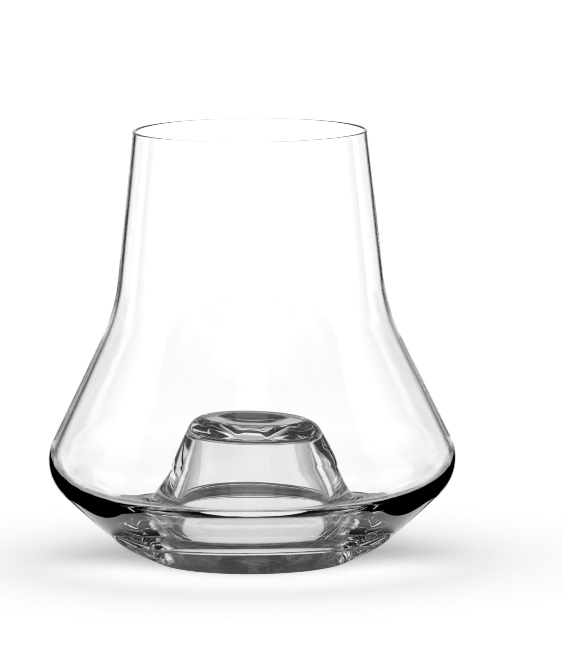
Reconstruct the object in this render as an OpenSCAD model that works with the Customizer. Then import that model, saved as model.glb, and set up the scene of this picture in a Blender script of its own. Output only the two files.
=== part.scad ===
// Whisky nosing glass: a clear tumbler with a tapered chimney, a wide low belly,
// a heavy base and a hollow dome pushed up through the floor.
// The glass is a body of revolution about Z. The origin is the centre of the foot, on the table.

/* [Overall] */
// Height from the table to the rim
glass_h = 105; // [98:0.5:120]
// Outside diameter of the rim
rim_d = 56.8; // [50:0.1:62]
// Greatest outside diameter, round the belly
belly_d = 99; // [94:0.5:110]

/* [Chimney] */
// Wall of the chimney at the rim
rim_wall = 0.9; // [0.7:0.05:1.5]
// Outside diameter where the chimney's line meets the flank's, before it is rounded
shoulder_d = 66.2; // [62:0.1:70]
// Height of that meeting
shoulder_z = 61.2; // [56:0.1:66]
// Radius of the hollow curve between chimney and flank
shoulder_round_r = 44; // [20:1:60]
// Height at which the chimney ends and the bowl begins
waist_z = 72; // [70:0.5:80]

/* [Bowl] */
// Wall at the shoulder
shoulder_wall = 0.95; // [0.7:0.05:1.5]
// Wall at the widest part of the belly
belly_wall = 1.8; // [1.4:0.1:2.2]
// Height of the widest part, outside
belly_z = 24.9; // [24:0.1:28]
// Radius of the belly's round, outside
belly_round_r = 11.3; // [9:0.1:13]
// Height of the widest part, inside
inner_belly_z = 25.5; // [24.8:0.1:27]
// Radius of the belly's round, inside
inner_belly_round_r = 8; // [7:0.1:9]

/* [Base] */
// Height of the floor inside where it meets the dome, before the corner is rounded
floor_z = 6.8; // [6:0.1:8]
// Diameter of the bend in the floor, past which it climbs to the belly
floor_bend_d = 67.6; // [64:0.2:70]
// Height of the floor's bend
floor_bend_z = 11; // [10.4:0.1:11.4]
// Radius of the floor's bend
floor_bend_r = 18; // [5:1:30]
// Outside diameter where the lower flank meets the underside's slope, before it is rounded
heel_d = 64; // [58:0.5:68]
// Height of that meeting
heel_z = 4.1; // [3.5:0.1:5]
// Radius of the heel's round
heel_round_r = 25; // [10:1:27]
// Outside diameter of the foot on the table, before its edge is rounded
foot_d = 46.6; // [46:0.1:48]
// Radius of the foot's outer edge
foot_round_r = 1.6; // [0.5:0.1:3]
// Slope of the line where bowl and base meet, down from level
base_joint_angle = 65; // [55:1:75]

/* [Dome] */
// Height of the dome's top
dome_z = 34; // [32:0.1:36]
// Outside diameter of the dome's top, before its edge is rounded
dome_top_d = 28.8; // [28:0.1:30]
// Outside diameter of the dome at the floor, before it is rounded
dome_root_d = 54; // [52:0.2:55]
// Radius of the dome's upper edge
crest_round_r = 4.5; // [2:0.1:5]
// Radius of the curve from the dome into the floor
root_round_r = 3; // [1:0.1:4]
// Diameter of the dimple in the dome's top
dimple_d = 16; // [12:0.1:18]
// Depth of the dimple
dimple_depth = 1.5; // [0.5:0.1:2]
// Height at which the base ends and the dome begins
dome_joint_z = 12; // [11:0.1:16]

/* [Hollow under the dome] */
// Height of the hollow's ceiling
hollow_z = 30; // [28:0.1:30.5]
// Diameter of the ceiling, before its edge is rounded
hollow_top_d = 28; // [26:0.1:28.4]
// Diameter of the hollow's mouth at the table
hollow_mouth_d = 42.4; // [41:0.1:43]
// Radius of the ceiling's edge
ceiling_round_r = 2; // [0.5:0.1:4]
// Radius of the mouth's edge
mouth_round_r = 0.6; // [0.3:0.1:0.8]

/* [Hidden] */
$fn = 96;
arc_steps = 14;

// Half the wall, less a hair, so that the fire-polished rim is almost a half circle
lip_share = 0.48;
lip_r = rim_wall * lip_share;
// How far the dimple's flat middle reaches, of the dimple's radius
dimple_middle_share = 0.35;
dimple_round_r = crest_round_r;

// The half section's corners, as [radius, height]
rim_out = [rim_d / 2, glass_h];
rim_in = [rim_d / 2 - rim_wall, glass_h];
shoulder_out = [shoulder_d / 2, shoulder_z];
shoulder_in = [shoulder_d / 2 - shoulder_wall, shoulder_z];
belly_centre = [belly_d / 2 - belly_round_r, belly_z];
inner_belly_centre = [belly_d / 2 - belly_wall - inner_belly_round_r, inner_belly_z];
heel = [heel_d / 2, heel_z];
foot = [foot_d / 2, 0];
mouth = [hollow_mouth_d / 2, 0];
ceiling_edge = [hollow_top_d / 2, hollow_z];
ceiling_middle = [0, hollow_z];
dimple_middle = [0, dome_z - dimple_depth];
dimple_floor = [dimple_d / 2 * dimple_middle_share, dome_z - dimple_depth];
dimple_edge = [dimple_d / 2, dome_z];
crest = [dome_top_d / 2, dome_z];
root = [dome_root_d / 2, floor_z];
floor_bend = [floor_bend_d / 2, floor_bend_z];

// Where the straight stretches touch the belly's two rounds
belly_upper = touch(shoulder_out, belly_centre, belly_round_r, -1);
belly_lower = touch(heel, belly_centre, belly_round_r, 1);
inner_belly_upper = touch(shoulder_in, inner_belly_centre, inner_belly_round_r, -1);
inner_belly_lower = touch(floor_bend, inner_belly_centre, inner_belly_round_r, 1);

function unit(v) = v / norm(v);

function turned(v, angle) =
    [v.x * cos(angle) - v.y * sin(angle), v.x * sin(angle) + v.y * cos(angle)];

// The point where a line from p touches the circle of radius r round c, on the given side
function touch(p, c, r, side) = c + r * turned(unit(p - c), side * acos(r / norm(p - c)));

// Points on the circle round c, from a the short way to b
function arc(c, a, b) =
    let (u = a - c, v = b - c, sweep = atan2(cross(u, v), u * v))
    [for (i = [0 : arc_steps]) c + turned(u, sweep * i / arc_steps)];

// The corner b between a and c, rounded with radius r
function rounded(a, b, c, r) =
    let (u = unit(a - b), v = unit(c - b), half = acos(u * v) / 2, reach = r / tan(half))
    arc(b + unit(u + v) * r / sin(half), b + u * reach, b + v * reach);

// The half section of the whole glass, from the hollow's ceiling down, round the outside,
// over the rim and down the inside to the middle of the dome
half_section = concat(
    [ceiling_middle],
    rounded(ceiling_middle, ceiling_edge, mouth, ceiling_round_r),
    rounded(ceiling_edge, mouth, foot, mouth_round_r),
    rounded(mouth, foot, heel, foot_round_r),
    rounded(foot, heel, belly_lower, heel_round_r),
    arc(belly_centre, belly_lower, belly_upper),
    rounded(belly_upper, shoulder_out, rim_out, shoulder_round_r),
    rounded(shoulder_out, rim_out, rim_in, lip_r),
    rounded(rim_out, rim_in, shoulder_in, lip_r),
    rounded(rim_in, shoulder_in, inner_belly_upper, shoulder_round_r),
    arc(inner_belly_centre, inner_belly_upper, inner_belly_lower),
    rounded(inner_belly_lower, floor_bend, root, floor_bend_r),
    rounded(floor_bend, root, crest, root_round_r),
    rounded(root, crest, dimple_edge, crest_round_r),
    rounded(crest, dimple_edge, dimple_floor, dimple_round_r),
    rounded(dimple_edge, dimple_floor, dimple_middle, dimple_round_r),
    [dimple_middle]
);

// The lines that part the section: level at the waist and at the dome's foot,
// and sloping through the wall where the bowl grows out of the base
joint_end = [inner_belly_centre.x + inner_belly_centre.y / tan(base_joint_angle), 0];
dome_side = dome_root_d / 2;

module chimney_zone() {
    translate([0, waist_z])
        square([belly_d, glass_h - waist_z]);
}

module bowl_zone() {
    polygon([
        inner_belly_centre,
        joint_end,
        [belly_d, 0],
        [belly_d, waist_z],
        [0, waist_z]
    ]);
}

module dome_zone() {
    translate([0, dome_joint_z])
        square([dome_side, dome_z - dome_joint_z]);
}

module base_zone() {
    polygon([
        [0, 0],
        joint_end,
        inner_belly_centre,
        [dome_side, dome_joint_z],
        [0, dome_joint_z]
    ]);
}

// The part of the section inside a zone, turned round the axis
module turned_glass() {
    rotate_extrude()
        intersection() {
            polygon(half_section);
            children();
        }
}

// Thin straight-sided upper wall, ending in the fire-polished rim
module chimney() {
    color("azure", 0.4)
        turned_glass()
            chimney_zone();
}

// Shoulder, flank and belly, thickening downwards
module bowl() {
    color("aliceblue", 0.4)
        turned_glass()
            bowl_zone();
}

// Heavy ring of glass with the floor of the bowl above and the foot below
module base() {
    color("lightcyan", 0.5)
        turned_glass()
            base_zone();
}

// Hollow dome with a dimpled top, standing in the middle of the floor
module dome() {
    color("lightblue", 0.5)
        turned_glass()
            dome_zone();
}

chimney();
bowl();
base();
dome();
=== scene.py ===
import functools
import math

import bmesh
import bpy
import numpy as np
from mathutils import Matrix, Vector, noise


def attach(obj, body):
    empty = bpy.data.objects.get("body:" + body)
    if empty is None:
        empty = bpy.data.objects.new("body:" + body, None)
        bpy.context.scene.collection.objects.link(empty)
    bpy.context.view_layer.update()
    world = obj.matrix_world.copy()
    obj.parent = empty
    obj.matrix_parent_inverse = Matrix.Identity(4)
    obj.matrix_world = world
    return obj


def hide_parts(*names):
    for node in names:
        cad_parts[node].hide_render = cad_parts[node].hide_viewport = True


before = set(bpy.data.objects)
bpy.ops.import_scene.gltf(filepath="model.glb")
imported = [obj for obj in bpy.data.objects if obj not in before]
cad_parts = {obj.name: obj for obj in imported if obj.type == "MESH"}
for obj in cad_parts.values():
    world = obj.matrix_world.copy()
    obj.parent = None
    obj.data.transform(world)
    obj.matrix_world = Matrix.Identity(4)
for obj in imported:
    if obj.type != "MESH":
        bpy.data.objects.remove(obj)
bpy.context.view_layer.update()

# The camera stands 1.9 m off and a little above, with a long lens, so the glass shows
# hardly any perspective. Photo places are pixels of the 563 x 665 picture.
PHOTO_W, PHOTO_H = 563, 665
camera_distance = 1.9
camera_height = 0.30022
lens_in_pixels = 7905.56
sensor_width = 36
clip_near, clip_far = 0.05, 100
aim = Vector((0, 0, 0.05))
aim_pixel = Vector((251.3, 355.35))
camera_roll = math.radians(0.43)


def add_camera():
    """Stands the camera so that the aim point lands on its pixel of the photo."""
    data = bpy.data.cameras.new("camera")
    data.sensor_width = sensor_width
    # The sensor's width lies along the longer side of the picture, which is its height
    data.lens = lens_in_pixels * sensor_width / PHOTO_H
    data.clip_start, data.clip_end = clip_near, clip_far
    place = Vector((0, -camera_distance, camera_height))
    forward = (aim - place).normalized()
    right = Vector((1, 0, 0))
    level = Matrix((right, right.cross(forward), -forward)).transposed()
    yaw = math.atan((aim_pixel.x - PHOTO_W / 2) / lens_in_pixels)
    pitch = math.atan((aim_pixel.y - PHOTO_H / 2) / lens_in_pixels)
    turn = (
        level
        @ Matrix.Rotation(yaw, 3, "Y")
        @ Matrix.Rotation(pitch, 3, "X")
        @ Matrix.Rotation(-camera_roll, 3, "Z")
    )
    camera = bpy.data.objects.new("camera", data)
    camera.matrix_world = Matrix.Translation(place) @ turn.to_4x4()
    bpy.context.scene.collection.objects.link(camera)
    bpy.context.scene.camera = camera


add_camera()

# Bowl: the shoulder, flank and belly of the glass, blown thin above and left thick
# below, where it grows out of the base without a seam. Clear soda-lime glass. It is
# drawn as a half section, in millimetres from the axis and the table, and turned.
MM = 0.001
shoulder_out = Vector((33.1, 61.2))
shoulder_in = Vector((32.15, 61.2))
shoulder_round_r = 44
rim_out = Vector((28.4, 105))
rim_in = Vector((27.5, 105))
belly_centre = Vector((38.2, 24.9))
belly_round_r = 11.3
inner_belly_centre = Vector((39.7, 25.5))
inner_belly_round_r = 8
waist_z = 72
heel = Vector((32, 4.1))
floor_bend = Vector((33.8, 11))
joint_angle = math.radians(65)
# Rows of the section stand this far apart, and a longer gap is a straight run of glass.
# A round tighter than tight_r has as many rows as one of that size.
row_gap = 0.6
straight_gap = 1.5 * row_gap
fewest_steps = 4
tight_r = 2
same_place = 1e-6
columns = 256
weld_distance = 0.001 * MM


def turned(v, angle):
    """The flat vector v, turned anticlockwise."""
    c, s = math.cos(angle), math.sin(angle)
    return Vector((v.x * c - v.y * s, v.x * s + v.y * c))


def touch(p, centre, r, side):
    """Where a line from p touches the circle of radius r, on the given side."""
    away = p - centre
    return centre + r * turned(away.normalized(), side * math.acos(r / away.length))


def flat_angle(u, v):
    """The turn from u to v, anticlockwise."""
    return math.atan2(u.x * v.y - u.y * v.x, u.dot(v))


def arc(centre, a, b):
    """Points with outward slopes on the short arc from a to b; each is (place, slope)."""
    u, v = a - centre, b - centre
    sweep = flat_angle(u, v)
    steps = max(fewest_steps, math.ceil(abs(sweep) * max(u.length, tight_r) / row_gap))
    side = 1 if sweep > 0 else -1
    spokes = [turned(u, sweep * i / steps) for i in range(steps + 1)]
    return [(centre + spoke, spoke.normalized() * side) for spoke in spokes]


def rounded(a, b, c, r):
    """The corner b between a and c, rounded with radius r."""
    u, v = (a - b).normalized(), (c - b).normalized()
    half = u.angle(v) / 2
    centre = b + (u + v).normalized() * r / math.sin(half)
    return arc(centre, b + u * r / math.tan(half), b + v * r / math.tan(half))


def crossing(a, b, p, q):
    """Where the line a b crosses the line p q."""
    u, v, w = b - a, q - p, p - a
    return a + u * (w.x * v.y - w.y * v.x) / (u.x * v.y - u.y * v.x)


def outline(stretches):
    """Joins stretches of glass surface, each a list of (place, slope), into one closed
    loop of rows (place, slope, is_joint). Straight gaps inside a stretch are filled with
    rows; the straight lines from stretch to stretch are joints with the next piece."""
    loop = []
    for stretch in stretches:
        for (a, slope), (b, _) in zip(stretch[:-1], stretch[1:]):
            gap = b - a
            if gap.length < same_place:
                continue
            steps = max(1, math.ceil(gap.length / row_gap))
            straight = gap.length > straight_gap
            facing = Vector((gap.y, -gap.x)).normalized() if straight else slope
            for i in range(steps):
                loop.append((a + gap * i / steps, facing if i else slope, False))
        loop.append((*stretch[-1], True))
    return loop


def turning_tree():
    """Geometry Nodes: turns a half section, a line of points, round Z into rings of faces."""
    tree = bpy.data.node_groups.new("turned glass", "GeometryNodeTree")
    sockets = [
        ("Half section", "INPUT", "NodeSocketGeometry"),
        ("Columns", "INPUT", "NodeSocketInt"),
        ("Glass", "INPUT", "NodeSocketMaterial"),
        ("Joint", "INPUT", "NodeSocketMaterial"),
        ("Glass body", "OUTPUT", "NodeSocketGeometry"),
    ]
    for name, way, kind in sockets:
        tree.interface.new_socket(name, in_out=way, socket_type=kind)

    def node(kind, **settings):
        made = tree.nodes.new(kind)
        for key, value in settings.items():
            setattr(made, key, value)
        return made

    def join(source, target):
        tree.links.new(source, target)

    def whole(operation, a, b):
        made = node("FunctionNodeIntegerMath", operation=operation)
        for socket, value in zip(made.inputs, (a, b)):
            if isinstance(value, int):
                socket.default_value = value
            else:
                join(value, socket)
        return made.outputs[0]

    def sampled(kind, source, row):
        """The half section's value at a row: its position, or a named attribute."""
        made = node("GeometryNodeSampleIndex", data_type=kind, domain="POINT")
        join(given.outputs["Half section"], made.inputs["Geometry"])
        join(source, made.inputs["Value"])
        join(row, made.inputs["Index"])
        return made.outputs["Value"]

    def named(kind, name):
        made = node("GeometryNodeInputNamedAttribute", data_type=kind)
        made.inputs["Name"].default_value = name
        return made.outputs["Attribute"]

    def stored(geometry, kind, domain, name, value):
        made = node("GeometryNodeStoreNamedAttribute", data_type=kind, domain=domain)
        made.inputs["Name"].default_value = name
        join(geometry, made.inputs["Geometry"])
        join(value, made.inputs["Value"])
        return made.outputs["Geometry"]

    def round_z(vector, angle):
        made = node("ShaderNodeVectorRotate", rotation_type="Z_AXIS")
        join(vector, made.inputs["Vector"])
        join(angle, made.inputs["Angle"])
        return made.outputs["Vector"]

    given = node("NodeGroupInput")
    size = node("GeometryNodeAttributeDomainSize", component="MESH")
    join(given.outputs["Half section"], size.inputs["Geometry"])
    rows = size.outputs["Point Count"]
    grid = node("GeometryNodeMeshGrid")
    join(whole("ADD", given.outputs["Columns"], 1), grid.inputs["Vertices X"])
    join(rows, grid.inputs["Vertices Y"])
    index = node("GeometryNodeInputIndex").outputs[0]
    row = whole("MODULO", index, rows)
    column = whole("DIVIDE", whole("SUBTRACT", index, row), rows)
    share = node("ShaderNodeMath", operation="DIVIDE")
    join(column, share.inputs[0])
    join(given.outputs["Columns"], share.inputs[1])
    angle = node("ShaderNodeMath", operation="MULTIPLY")
    angle.inputs[1].default_value = 2 * math.pi
    join(share.outputs[0], angle.inputs[0])
    place = sampled("FLOAT_VECTOR", node("GeometryNodeInputPosition").outputs[0], row)
    slope = sampled("FLOAT_VECTOR", named("FLOAT_VECTOR", "slope"), row)
    facing = round_z(slope, angle.outputs[0])
    body = stored(grid.outputs["Mesh"], "FLOAT_VECTOR", "POINT", "facing", facing)
    face_row = whole("MODULO", index, whole("SUBTRACT", rows, 1))
    is_joint = sampled("BOOLEAN", named("BOOLEAN", "joint"), face_row)
    body = stored(body, "BOOLEAN", "FACE", "joint", is_joint)
    turn = node("GeometryNodeSetPosition")
    join(body, turn.inputs["Geometry"])
    join(round_z(place, angle.outputs[0]), turn.inputs["Position"])
    closed = node("GeometryNodeMergeByDistance")
    closed.inputs["Distance"].default_value = weld_distance
    join(turn.outputs["Geometry"], closed.inputs["Geometry"])
    smooth = node("GeometryNodeSetShadeSmooth")
    join(closed.outputs["Geometry"], smooth.inputs["Geometry"])
    real = node("GeometryNodeRealizeInstances")
    join(smooth.outputs["Geometry"], real.inputs["Geometry"])
    glass = node("GeometryNodeSetMaterial")
    join(real.outputs["Geometry"], glass.inputs["Geometry"])
    join(given.outputs["Glass"], glass.inputs["Material"])
    joint = node("GeometryNodeSetMaterial")
    join(glass.outputs["Geometry"], joint.inputs["Geometry"])
    join(named("BOOLEAN", "joint"), joint.inputs["Selection"])
    join(given.outputs["Joint"], joint.inputs["Material"])
    join(joint.outputs["Geometry"], node("NodeGroupOutput").inputs["Glass body"])
    return tree


def smoothstep(low, high, value):
    """0 below low, 1 above high, and a soft climb between."""
    t = min(max((value - low) / (high - low), 0), 1)
    return t * t * (3 - 2 * t)


# How the hand shows in the glass, in metres: long waves in the surface, deepest inside,
# where no mould touched it, on two lengths at once
wave_length = 0.016
wide_wave_length = 2.7 * wave_length
near_share, wide_share = 0.3, 0.5
near_start, wide_start = Vector((3.1, 7.7, 1.3)), Vector((9.2, 0.4, 5.5))
inner_wave, outer_wave = 0.00006, 0.000012
# The foot stays flat on the table, and the outside lies a hair within its true place
still_height = 0.003
outer_skin = 0.00002
# The inside of the glass faces the axis and sits a little to the right of it. A surface
# that faces up or down, within inside_blend, is partly inside.
inner_offset = 0.00012
inside_blend = 0.2
on_axis = 1e-6
# The dome, as far out as dome_reach, leans to the right, and its right side swells
dome_reach = (0.0176, 0.0286)
dome_lean, lean_height = 0.04, (0.017, 0.033)
dome_bulge = 0.0015
bulge_from, bulge_full, bulge_to = 0.012, 0.026, 0.05
crown_radius = 0.006
# How far off the slope of the surface is felt
probe = 0.0003


def uneven(place):
    """How far the surface lies under its true place, about 0 to 1 of a wave's depth."""
    near = noise.noise(place / wave_length + near_start)
    wide = noise.noise(place / wide_wave_length + wide_start)
    return 0.5 + near_share * near + wide_share * wide


def bulge(place):
    """How far the dome's outside stands to the right, where its right side swells."""
    rising = smoothstep(bulge_from, bulge_full, place.z)
    falling = 1 - smoothstep(bulge_full, bulge_to, place.z)
    radius = max(math.hypot(place.x, place.y), crown_radius)
    return dome_bulge * rising * falling * smoothstep(-1, 1, place.x / radius)


def hand_made(mesh):
    """Moves the turned surface as the glassmaker's hand did, and gives every corner its
    true facing, so that the joints between the pieces don't show."""
    count = len(mesh.vertices)
    facing = np.empty(count * 3, np.float32)
    mesh.attributes["facing"].data.foreach_get("vector", facing)
    facing = facing.reshape(-1, 3)
    steps = [Vector((probe, 0, 0)), Vector((0, probe, 0)), Vector((0, 0, probe))]
    for vertex in mesh.vertices:
        place = vertex.co.copy()
        normal = Vector(facing[vertex.index])
        radius = math.hypot(place.x, place.y)
        outward = (normal.x * place.x + normal.y * place.y) / max(radius, on_axis)
        inside = smoothstep(inside_blend, -inside_blend, outward)
        above_foot = smoothstep(0, still_height, place.z)
        depth = (outer_wave + (inner_wave - outer_wave) * inside) * above_foot
        here = uneven(place)
        slope = Vector([(uneven(place + step) - here) / probe for step in steps])
        normal += depth * (slope - normal * slope.dot(normal))
        in_dome = 1 - smoothstep(*dome_reach, radius)
        lean = dome_lean * smoothstep(*lean_height, place.z) * in_dome
        normal.x += lean * normal.z
        outer_dome = in_dome * (1 - inside)
        swell = bulge(place)
        shear = Vector([(bulge(place + step) - swell) / probe for step in steps])
        normal -= shear * outer_dome * normal.x
        aside = inner_offset * inside * above_foot + swell * outer_dome
        under = depth * here + outer_skin * (1 - inside)
        vertex.co = place - normal * under + Vector((aside, 0, -lean * place.x))
        facing[vertex.index] = normal.normalized()
    corners = np.empty(len(mesh.loops), np.int32)
    mesh.loops.foreach_get("vertex_index", corners)
    corner_facing = facing[corners]
    for face in mesh.polygons:
        if mesh.attributes["joint"].data[face.index].value:
            corner_facing[face.loop_start : face.loop_start + face.loop_total] = face.normal
    mesh.normals_split_custom_set(corner_facing)


glass_tint = (0.945, 0.95, 0.948, 1)
glass_refraction = 1.5
ripples_per_metre, ripple_detail = 140, 1
ripple_depth, ripple_strength = 0.00004, 0.25


def clear_glass():
    """Clear glass, with the faint ripple that fire polishing leaves in it."""
    material = bpy.data.materials.new("clear glass")
    material.use_nodes = True
    nodes, links = material.node_tree.nodes, material.node_tree.links
    shader = nodes["Principled BSDF"]
    shader.inputs["Base Color"].default_value = glass_tint
    shader.inputs["Transmission Weight"].default_value = 1
    shader.inputs["Roughness"].default_value = 0
    shader.inputs["IOR"].default_value = glass_refraction
    place = nodes.new("ShaderNodeTexCoord")
    ripple = nodes.new("ShaderNodeTexNoise")
    ripple.inputs["Scale"].default_value = ripples_per_metre
    ripple.inputs["Detail"].default_value = ripple_detail
    bump = nodes.new("ShaderNodeBump")
    bump.inputs["Strength"].default_value = ripple_strength
    bump.inputs["Distance"].default_value = ripple_depth
    links.new(place.outputs["Object"], ripple.inputs["Vector"])
    links.new(ripple.outputs["Fac"], bump.inputs["Height"])
    links.new(bump.outputs["Normal"], shader.inputs["Normal"])
    return material


def unseen_joint():
    """Where two pieces run together in one glass, nothing shows."""
    material = bpy.data.materials.new("unseen joint")
    material.use_nodes = True
    nodes, links = material.node_tree.nodes, material.node_tree.links
    nodes.remove(nodes["Principled BSDF"])
    clear = nodes.new("ShaderNodeBsdfTransparent")
    links.new(clear.outputs["BSDF"], nodes["Material Output"].inputs["Surface"])
    return material


turning = turning_tree()
glass_material = clear_glass()
joint_material = unseen_joint()


def turn_piece(name, rows, ends_on_axis=False):
    """Turns a loop of rows into a closed body of glass and puts it in the scene."""
    if not ends_on_axis:
        rows = [*rows, rows[0]]
    half = bpy.data.meshes.new(name)
    half.from_pydata([(p.x * MM, 0, p.y * MM) for p, _, _ in rows], [], [])
    slopes = half.attributes.new("slope", "FLOAT_VECTOR", "POINT")
    joints = half.attributes.new("joint", "BOOLEAN", "POINT")
    for i, (_, slope, is_joint) in enumerate(rows):
        slopes.data[i].vector = (slope.x, 0, slope.y)
        joints.data[i].value = is_joint
    pattern = bpy.data.objects.new(name + " half section", half)
    bpy.context.scene.collection.objects.link(pattern)
    modifier = pattern.modifiers.new("turn", "NODES")
    modifier.node_group = turning
    values = {"Columns": columns, "Glass": glass_material, "Joint": joint_material}
    for item in turning.interface.items_tree:
        if item.name in values:
            modifier[item.identifier] = values[item.name]
    seen = pattern.evaluated_get(bpy.context.evaluated_depsgraph_get())
    mesh = bpy.data.meshes.new_from_object(seen)
    bpy.data.objects.remove(pattern)
    body = bmesh.new()
    body.from_mesh(mesh)
    bmesh.ops.recalc_face_normals(body, faces=body.faces)
    body.to_mesh(mesh)
    body.free()
    hand_made(mesh)
    for used in ("facing", "joint"):
        mesh.attributes.remove(mesh.attributes[used])
    mesh.name = name
    piece = bpy.data.objects.new(name, mesh)
    bpy.context.scene.collection.objects.link(piece)
    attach(piece, "root")
    return piece


belly_upper = touch(shoulder_out, belly_centre, belly_round_r, -1)
belly_lower = touch(heel, belly_centre, belly_round_r, 1)
inner_upper = touch(shoulder_in, inner_belly_centre, inner_belly_round_r, -1)
inner_lower = touch(floor_bend, inner_belly_centre, inner_belly_round_r, 1)
joint_end = inner_belly_centre + turned(Vector((1, 0)), -joint_angle)
outer_joint = crossing(heel, belly_lower, inner_belly_centre, joint_end)
inner_joint = crossing(floor_bend, inner_lower, inner_belly_centre, joint_end)
waist_line = (Vector((0, waist_z)), Vector((1, waist_z)))
waist_out = crossing(shoulder_out, rim_out, *waist_line)
waist_in = crossing(shoulder_in, rim_in, *waist_line)


def facing_right(a, b):
    """The slope to the right of the way from a to b, which is out of the glass."""
    way = b - a
    return Vector((way.y, -way.x)).normalized()


lower_flank = facing_right(outer_joint, belly_lower)
chimney_side = facing_right(waist_out, rim_out)
chimney_inside = facing_right(rim_in, waist_in)
inner_floor = facing_right(inner_lower, inner_joint)
bowl_rows = outline(
    [
        [(outer_joint, lower_flank)]
        + arc(belly_centre, belly_lower, belly_upper)
        + rounded(belly_upper, shoulder_out, rim_out, shoulder_round_r)
        + [(waist_out, chimney_side)],
        [(waist_in, chimney_inside)]
        + rounded(rim_in, shoulder_in, inner_upper, shoulder_round_r)
        + arc(inner_belly_centre, inner_upper, inner_lower)
        + [(inner_joint, inner_floor)],
    ]
)
bowl = turn_piece("glass_bowl", bowl_rows)
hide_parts("bowl")

# Chimney: the straight tapered top, which gathers the nose of the spirit. It is one
# glass with the bowl, and its rim is cut and fire-polished to a half round: the lip's
# radius is half the wall, less a hair.
lip_share = 0.48
lip_r = (rim_out.x - rim_in.x) * lip_share
chimney_rows = outline(
    [
        [(waist_out, chimney_side)]
        + rounded(shoulder_out, rim_out, rim_in, lip_r)
        + rounded(rim_out, rim_in, shoulder_in, lip_r)
        + [(waist_in, chimney_inside)],
    ]
)
chimney = turn_piece("glass_chimney", chimney_rows)
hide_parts("chimney")

# Base: the heavy ring of solid glass under the bowl. The gather is left thick here and
# pressed to a narrow foot, and the hollow of the dome opens through it.
heel_round_r = 25
foot = Vector((23.3, 0))
foot_round_r = 1.6
mouth = Vector((21.2, 0))
mouth_round_r = 0.6
ceiling_edge = Vector((14, 30))
floor_bend_r = 18
root = Vector((27, 6.8))
root_round_r = 3
crest = Vector((14.4, 34))
dome_joint_z = 12

dome_line = (Vector((0, dome_joint_z)), Vector((1, dome_joint_z)))
hollow_joint = crossing(ceiling_edge, mouth, *dome_line)
side_joint = crossing(root, crest, *dome_line)
hollow_side = facing_right(ceiling_edge, mouth)
dome_side = facing_right(root, crest)
base_rows = outline(
    [
        [(hollow_joint, hollow_side)]
        + rounded(ceiling_edge, mouth, foot, mouth_round_r)
        + rounded(mouth, foot, heel, foot_round_r)
        + rounded(foot, heel, belly_lower, heel_round_r)
        + [(outer_joint, lower_flank)],
        [(inner_joint, inner_floor)]
        + rounded(inner_lower, floor_bend, root, floor_bend_r)
        + rounded(floor_bend, root, crest, root_round_r)
        + [(side_joint, dome_side)],
    ]
)
base = turn_piece("glass_base", base_rows)
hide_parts("base")

# Dome: the hollow hill in the middle of the floor. The hot base is pushed up from below
# with a rounded tool, which draws the wall thin and leaves a dimple in the top.
hollow_top = Vector((0, ceiling_edge.y))
ceiling_round_r = 2
crest_round_r = 4.5
dimple_edge = Vector((8, crest.y))
dimple_depth = 1.5
dimple_middle_share = 0.35
dimple_floor = Vector((dimple_edge.x * dimple_middle_share, crest.y - dimple_depth))
dimple_middle = Vector((0, dimple_floor.y))
down, up = Vector((0, -1)), Vector((0, 1))
dome_rows = outline(
    [
        [(hollow_top, down)]
        + rounded(hollow_top, ceiling_edge, mouth, ceiling_round_r)
        + [(hollow_joint, hollow_side)],
        [(side_joint, dome_side)]
        + rounded(root, crest, dimple_edge, crest_round_r)
        + rounded(crest, dimple_edge, dimple_floor, crest_round_r)
        + rounded(dimple_edge, dimple_floor, dimple_middle, crest_round_r)
        + [(dimple_middle, up)],
    ]
)
dome = turn_piece("glass_dome", dome_rows, ends_on_axis=True)
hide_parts("dome")

# Table and studio: a wide pale table that runs out of sight, in soft white light. Clear
# glass is drawn by what stands round it, so for the glass alone the room is dark above,
# with lit screens low down at every eighth of a turn, and the table shows painted light
# and shade round the foot.
table_radius, table_sides = 4, 128
table_colour, table_glow = (0.9, 0.9, 0.9, 1), 0.16

# What the eye meets through the glass. Turns and heights are in degrees, a turn from the
# middle of the nearest of the four first screens, a height from level. A pair is the
# stretch over which a light comes or goes, or the light at its two ends.
turn_to_next = 45
screens_by_turn = [
    (0, 1.25), (5, 1.3), (10, 1.36), (14, 1.25), (16, 0.2), (18, 0.02), (37, 0),
    (39, 1.15), (45, 1.28),
]
# The second screens, midway between the first, are lit below level only
second_turn, second_height = 30, (-4, 3)
# Haze past the first screens' edges, where the eye looks down
haze_turn, haze_height, haze_light = (15, 38), (-8.5, -6.5), (0.95, 0.35)
# A glow close beside the first screens, from just under level upwards
beside_turn, beside_height, beside_light = (18, 24), (-4.4, -3), 0.7
# An even light from the second screens' way, round level
side_turn, side_light = (28, 31), 0.7
side_bottom, side_top = (-9, -5), (8, 14)
# All of it dims above level and ends in the dark. Steeply down, the light is even.
dusk_height, dusk_light = (-3, 3), 0.42
night_height, night_light = (7, 15), 0.035
steep_height, steep_light = (-66, -56), 0.75

# What the outside of the glass mirrors: the first screens, and an even light above level
# that fades overhead
mirrored_turn = (11, 14)
mirrored_height, mirrored_light = (-3, 1), 0.35
overhead_height, overhead_share = (15, 35), 0.05

# What reaches the table through the glass, by how straight it comes from front or back
passed_straight, passed_light = (0.4, 0.8), (0.05, 1)


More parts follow.
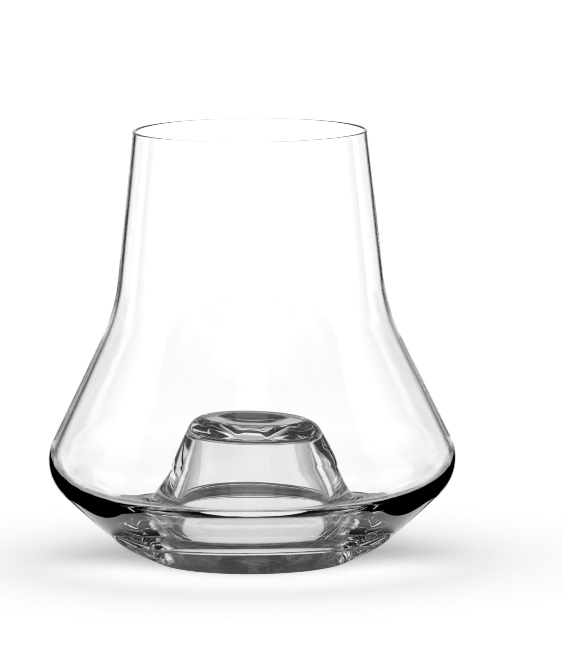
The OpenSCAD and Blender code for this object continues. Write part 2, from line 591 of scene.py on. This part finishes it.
class ShaderSums:
    """Sums written as nodes of a shader's tree. Each takes numbers or sockets, and gives
    the socket of its answer."""

    def __init__(self, tree):
        self.tree = tree

    def work_out(self, operation, *values):
        node = self.tree.nodes.new("ShaderNodeMath")
        node.operation = operation
        for socket, value in zip(node.inputs, values):
            if isinstance(value, (int, float)):
                socket.default_value = value
            else:
                self.tree.links.new(value, socket)
        return node.outputs[0]

    def times(self, *values):
        return functools.reduce(functools.partial(self.work_out, "MULTIPLY"), values)

    def brightest(self, *values):
        return functools.reduce(functools.partial(self.work_out, "MAXIMUM"), values)

    def rest(self, value):
        """What the value leaves of 1."""
        return self.work_out("SUBTRACT", 1, value)

    def ramp(self, value, stretch, lights):
        """The first light before the stretch, the second past it, a soft climb between."""
        node = self.tree.nodes.new("ShaderNodeMapRange")
        node.interpolation_type = "SMOOTHSTEP"
        self.tree.links.new(value, node.inputs["Value"])
        sockets = ("From Min", "From Max", "To Min", "To Max")
        for name, number in zip(sockets, (*stretch, *lights)):
            node.inputs[name].default_value = number
        return node.outputs[0]

    def glass_rays(self):
        """The path of a light ray, and two sockets that are 1 for a ray that comes through
        the glass and for one that the outside of the glass mirrors."""
        path = self.tree.nodes.new("ShaderNodeLightPath")
        through = path.outputs["Is Transmission Ray"]
        return path, through, self.times(path.outputs["Is Glossy Ray"], self.rest(through))


def screen_light(sums, turn):
    """The light of the screens round the room, from the list by turn."""
    screens = sums.tree.nodes.new("ShaderNodeValToRGB")
    stops = screens.color_ramp.elements
    for place, light in screens_by_turn[1:-1]:
        stops.new(place / turn_to_next)
    for stop, (place, light) in zip(stops, screens_by_turn):
        stop.position = place / turn_to_next
        stop.color = (light, light, light, 1)
    share = sums.work_out("DIVIDE", turn, turn_to_next)
    sums.tree.links.new(share, screens.inputs["Fac"])
    return screens.outputs["Color"]


def light_through(sums, turn, height, side):
    """The room as the eye meets it through the glass."""
    first = sums.rest(sums.work_out("GREATER_THAN", turn, second_turn))
    shown = sums.brightest(first, sums.ramp(height, second_height, (1, 0)))
    screens = sums.times(screen_light(sums, turn), shown)
    haze = sums.times(
        sums.ramp(turn, haze_turn, haze_light),
        sums.ramp(height, haze_height, (1, 0)),
        sums.work_out("GREATER_THAN", turn, haze_turn[0]),
    )
    beside = sums.times(
        sums.ramp(height, beside_height, (0, beside_light)),
        sums.ramp(turn, beside_turn, (1, 0)),
    )
    level = sums.times(
        sums.brightest(screens, haze, beside, side),
        sums.ramp(height, dusk_height, (1, dusk_light)),
        sums.ramp(height, night_height, (1, 0)),
    )
    steep = sums.ramp(height, steep_height, (1, 0))
    level = sums.times(sums.brightest(level, night_light), sums.rest(steep))
    return sums.work_out("MULTIPLY_ADD", steep, steep_light, level)


def light_mirrored(sums, turn, height, side):
    """The room as the outside of the glass mirrors it."""
    above = sums.times(
        sums.ramp(height, mirrored_height, (0, mirrored_light)),
        sums.ramp(height, overhead_height, (1, overhead_share)),
    )
    return sums.brightest(sums.ramp(turn, mirrored_turn, (1, 0)), above, side)


def light_room():
    """The room: white to the camera, even to the table, screens and gaps to the glass."""
    world = bpy.data.worlds.new("studio")
    bpy.context.scene.world = world
    world.use_nodes = True
    tree = world.node_tree
    sums = ShaderSums(tree)
    way = tree.nodes.new("ShaderNodeTexCoord")
    parts = tree.nodes.new("ShaderNodeSeparateXYZ")
    tree.links.new(way.outputs["Generated"], parts.inputs[0])
    x, y, z = parts.outputs
    bearing = sums.work_out("DEGREES", sums.work_out("ARCTAN2", x, y))
    turn = sums.work_out("PINGPONG", bearing, turn_to_next)
    height = sums.work_out("DEGREES", sums.work_out("ARCSINE", z))
    side = sums.times(
        sums.ramp(turn, side_turn, (0, side_light)),
        sums.ramp(height, side_bottom, (0, 1)),
        sums.ramp(height, side_top, (1, 0)),
    )
    path, through, mirrored = sums.glass_rays()
    by_glass = sums.work_out("ADD", through, mirrored)
    to_eye = sums.work_out(
        "ADD",
        sums.times(light_mirrored(sums, turn, height, side), mirrored),
        sums.times(light_through(sums, turn, height, side), through),
    )
    straight = sums.work_out("ABSOLUTE", y)
    passed = sums.times(sums.ramp(straight, passed_straight, passed_light), by_glass)
    to_table = sums.work_out("GREATER_THAN", path.outputs["Diffuse Depth"], 0)
    to_eye = sums.times(to_eye, sums.rest(to_table))
    light = sums.work_out("MULTIPLY_ADD", passed, to_table, to_eye)
    light = sums.work_out("ADD", light, sums.rest(by_glass))
    tree.links.new(light, tree.nodes["Background"].inputs["Color"])


# A painted pool of light, glowing on the table before the glass where the glass would
# gather light, in metres: how far back it reaches, and how far out
pool_light, pool_back, pool_reach = 0.5, (-0.022, 0.014), (0.03, 0.06)
# The table through the glass, painted: painted light under the foot, dimmer painted
# shade beside it, and a painted shadow in a strip behind it
foot_side, painted_foot_light = (0.0195, 0.0205), (0.95, 0.3)
painted_shadow_front, painted_shadow_back, painted_shadow_light = (0.0195, 0.0215), (0.034, 0.037), 0.05
# The table mirrored in the outside of the glass: a painted lit sheet, for a painted
# reflection, that widens to the back, with the foot's dark edge painted on it as shade
sheet_half, sheet_flare, sheet_back, painted_reflection_light = 0.0445, 0.27, 0.036, 0.9
edge_reach, painted_edge_shade = (0.0375, 0.0405), (0.1, 1)
# How far out the glass shows the table. Past that its rays go on into the room.
through_reach, mirrored_reach = 0.038, 0.075


def table_by_glass(sums, x, y, reach):
    """The table as the glass shows it, in painted light and shade by its own glow and clear
    far out, with a socket that is 1 for the rays that meet it so."""
    aside = sums.work_out("ABSOLUTE", x)
    # Painted shadow in a strip behind the foot; painted light under the foot and dimmer
    # painted shade beside it, never darker than the painted shadow
    painted_shadow = sums.times(sums.ramp(y, painted_shadow_front, (0, 1)), sums.ramp(y, painted_shadow_back, (1, 0)))
    foot = sums.times(sums.ramp(aside, foot_side, painted_foot_light), sums.rest(painted_shadow))
    foot = sums.brightest(foot, painted_shadow_light)
    # A painted lit sheet on the table, seen only in the glass's outside as a painted
    # reflection, with painted shade at the foot's edge
    sheet_side = sums.work_out("MULTIPLY_ADD", y, sheet_flare, sheet_half)
    painted_reflection = sums.times(
        sums.work_out("LESS_THAN", aside, sheet_side),
        sums.work_out("LESS_THAN", sums.work_out("ABSOLUTE", y), sheet_back),
        painted_reflection_light,
        sums.ramp(reach, edge_reach, painted_edge_shade),
    )
    path, through, mirrored = sums.glass_rays()
    # Painted light and shade on the table, for rays through the glass or mirrored by it
    light = sums.work_out("ADD", sums.times(painted_reflection, mirrored), sums.times(foot, through))
    widening = mirrored_reach - through_reach
    span = sums.work_out("MULTIPLY_ADD", mirrored, widening, through_reach)
    far_out = sums.work_out("GREATER_THAN", reach, span)
    nodes, links = sums.tree.nodes, sums.tree.links
    glow = nodes.new("ShaderNodeEmission")
    links.new(light, glow.inputs["Color"])
    clear = nodes.new("ShaderNodeBsdfTransparent")
    shown = nodes.new("ShaderNodeMixShader")
    links.new(far_out, shown.inputs["Fac"])
    links.new(glow.outputs[0], shown.inputs[1])
    links.new(clear.outputs[0], shown.inputs[2])
    not_diffuse = sums.rest(path.outputs["Is Diffuse Ray"])
    by_glass = sums.times(sums.brightest(through, mirrored), not_diffuse)
    return shown.outputs[0], by_glass


def lay_table():
    """The table: pale and matt, with the shadow of the glass on it, a painted pool of light
    before the glass, and painted light and shade that only the glass shows.
    """
    mesh = bpy.data.meshes.new("table")
    disc = bmesh.new()
    bmesh.ops.create_circle(disc, cap_ends=True, segments=table_sides, radius=table_radius)
    disc.to_mesh(mesh)
    disc.free()
    table = bpy.data.objects.new("table", mesh)
    bpy.context.scene.collection.objects.link(table)
    material = bpy.data.materials.new("pale table")
    mesh.materials.append(material)
    material.use_nodes = True
    tree = material.node_tree
    sums = ShaderSums(tree)
    paint = tree.nodes["Principled BSDF"]
    paint.inputs["Base Color"].default_value = table_colour
    paint.inputs["Roughness"].default_value = 1
    paint.inputs["Specular IOR Level"].default_value = 0
    paint.inputs["Emission Color"].default_value = (1, 1, 1, 1)
    place = tree.nodes.new("ShaderNodeTexCoord")
    parts = tree.nodes.new("ShaderNodeSeparateXYZ")
    tree.links.new(place.outputs["Object"], parts.inputs[0])
    x, y, _ = parts.outputs
    square = sums.work_out("ADD", sums.times(x, x), sums.times(y, y))
    reach = sums.work_out("SQRT", square)
    # The painted pool of light glows from the table, on top of its even glow
    painted_pool = sums.times(
        sums.ramp(y, pool_back, (pool_light, 0)), sums.ramp(reach, pool_reach, (1, 0))
    )
    glow = sums.work_out("ADD", painted_pool, table_glow)
    tree.links.new(glow, paint.inputs["Emission Strength"])
    shown, by_glass = table_by_glass(sums, x, y, reach)
    either = tree.nodes.new("ShaderNodeMixShader")
    tree.links.new(by_glass, either.inputs["Fac"])
    tree.links.new(paint.outputs[0], either.inputs[1])
    tree.links.new(shown, either.inputs[2])
    tree.links.new(either.outputs[0], tree.nodes["Material Output"].inputs["Surface"])


light_room()
lay_table()
# Light crosses many walls of glass on its way, and the edges in the glass are crisp
scene = bpy.context.scene
scene.view_settings.view_transform = "Standard"
scene.cycles.filter_width = 1.0
scene.cycles.max_bounces = 32
scene.cycles.transmission_bounces = 32
scene.cycles.glossy_bounces = 9
scene.cycles.transparent_max_bounces = 64
scene.cycles.caustics_refractive = True
scene.cycles.caustics_reflective = True
